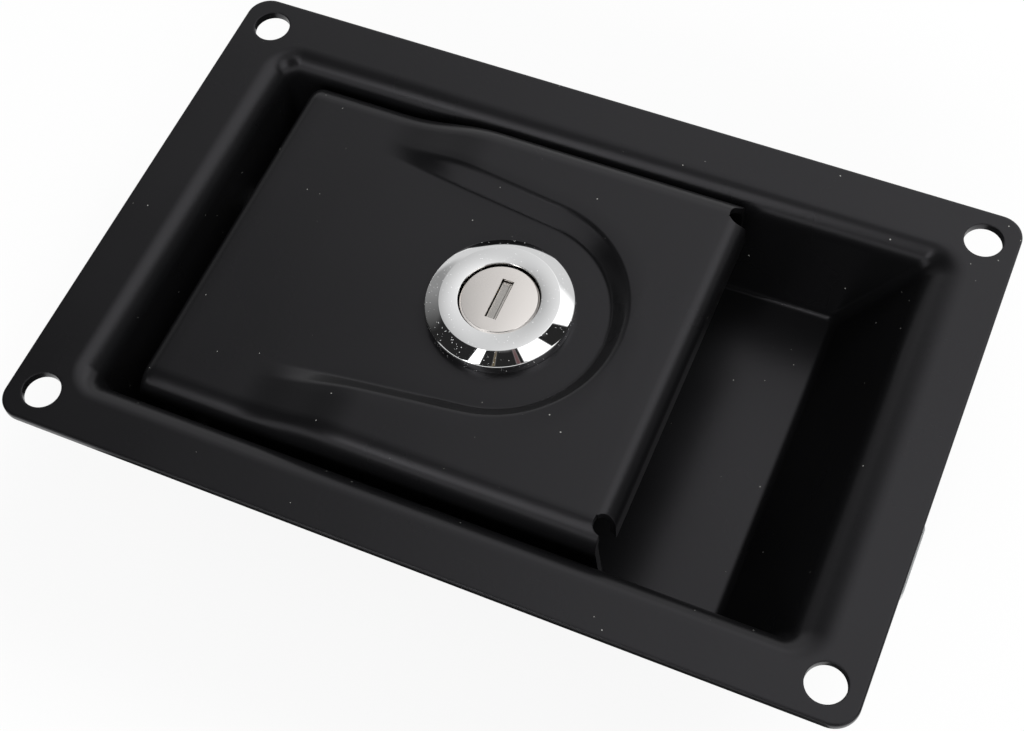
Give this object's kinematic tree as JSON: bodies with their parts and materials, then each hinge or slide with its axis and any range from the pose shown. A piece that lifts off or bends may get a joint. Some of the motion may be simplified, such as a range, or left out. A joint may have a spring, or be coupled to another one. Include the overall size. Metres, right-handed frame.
{
  "type": "recessed truck door lock",
  "caption": "Flush slam latch: black pressed pan with corner holes, lift-up paddle with a keyed cam lock, finger pocket and a spring bolt behind.",
  "frame": {"origin": "centre of the mounting plate's front face", "axes": "+X towards the finger pocket and the bolt, +Y across the plate, +Z out of the door"},
  "size_m": [0.1402, 0.091, 0.0388],
  "materials": {
    "black_powder_coat": "satin",
    "zinc_plate": "satin",
    "bright_chrome": "polished",
    "satin_nickel": "satin",
    "brass": "satin",
    "spring_steel": "satin"
  },
  "bodies": {
    "pan": {"pan": "black_powder_coat", "pivot_pin": "zinc_plate", "pin_clip": "spring_steel", "return_spring": "spring_steel", "crank_washer": "zinc_plate", "crank_rivet": "zinc_plate", "bolt_guide": "zinc_plate", "spring_bracket": "zinc_plate", "bracket_rivets": "zinc_plate", "bolt_spring": "spring_steel", "cam_keeper": "zinc_plate", "keeper_rivets": "zinc_plate"},
    "paddle": {"paddle": "black_powder_coat", "drive_arm": "zinc_plate", "lock_housing": "bright_chrome", "lock_washer": "zinc_plate", "lock_nut": "zinc_plate"},
    "crank": {"bell_crank": "zinc_plate", "crank_pin": "zinc_plate"},
    "bolt": {"bolt": "zinc_plate"},
    "plug": {"lock_plug": "satin_nickel", "wafers": "brass", "lock_cam": "zinc_plate", "cam_washer": "zinc_plate", "cam_screw": "zinc_plate"},
    "shutter": {"dust_shutter": "spring_steel"}
  },
  "joints": [
    {"name": "paddle_hinge", "type": "hinge", "parent": "pan", "child": "paddle", "pos_m": [-0.042, 0, -0.0095], "axis": [0, -1, 0], "range_deg": [0, 35], "stiffness_Nm_per_rad": 0.25, "springref_deg": -22.92, "deforming": ["return_spring"]},
    {"name": "crank_turn", "type": "hinge", "parent": "pan", "child": "crank", "pos_m": [-0.03323, 0.00678, -0.0277], "axis": [0, 0, -1], "range_deg": [0, 46.2]},
    {"name": "bolt_slide", "type": "slide", "parent": "pan", "child": "bolt", "axis": [-1, 0, 0], "range_m": [0, 0.0101], "deforming": ["bolt_spring"]},
    {"name": "key_turn", "type": "hinge", "parent": "paddle", "child": "plug", "pos_m": [-0.003, 0.0008, 0], "axis": [0, 0, -1], "range_deg": [0, 90]},
    {"name": "shutter_hinge", "type": "hinge", "parent": "plug", "child": "shutter", "pos_m": [-0.00245, 0.0008, 0.0008], "axis": [0, -1, 0], "range_deg": [0, 75], "stiffness_Nm_per_rad": 0.0005, "springref_deg": -17.19}
  ],
  "couplings": [
    {"joint": "crank_turn", "follows": "paddle_hinge", "ratio": 1.3143},
    {"joint": "bolt_slide", "follows": "paddle_hinge", "m_per_rad": 0.016375}
  ]
}
